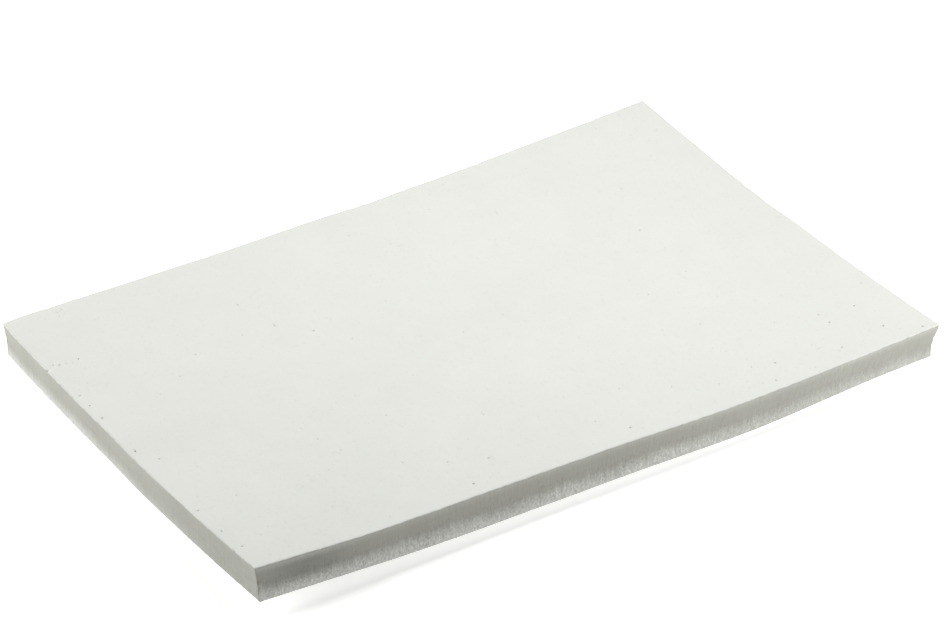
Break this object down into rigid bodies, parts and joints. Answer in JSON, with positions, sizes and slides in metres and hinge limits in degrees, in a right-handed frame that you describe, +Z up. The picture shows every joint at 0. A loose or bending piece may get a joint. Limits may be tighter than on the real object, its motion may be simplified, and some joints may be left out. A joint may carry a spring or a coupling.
{
  "type": "back protector insert",
  "caption": "Flat rectangular foam back protector insert, off-white, laminated from skins and foam plies, with knife-cut edges and a slightly dished face.",
  "frame": {"origin": "middle of the underside, on the small flat patch that the slab rests on", "axes": "+X along the long side, +Y along the short side, +Z up out of the facing side"},
  "size_m": [0.3, 0.2, 0.0236],
  "materials": {
    "skin": "matte",
    "impact_foam": "matte",
    "glue": "satin",
    "comfort_foam": "matte"
  },
  "bodies": {
    "root": {"facing_skin": "skin", "impact_foam_ply": "impact_foam", "glue_film": "glue", "comfort_foam_ply": "comfort_foam", "backing_skin": "skin"}
  },
  "joints": []
}
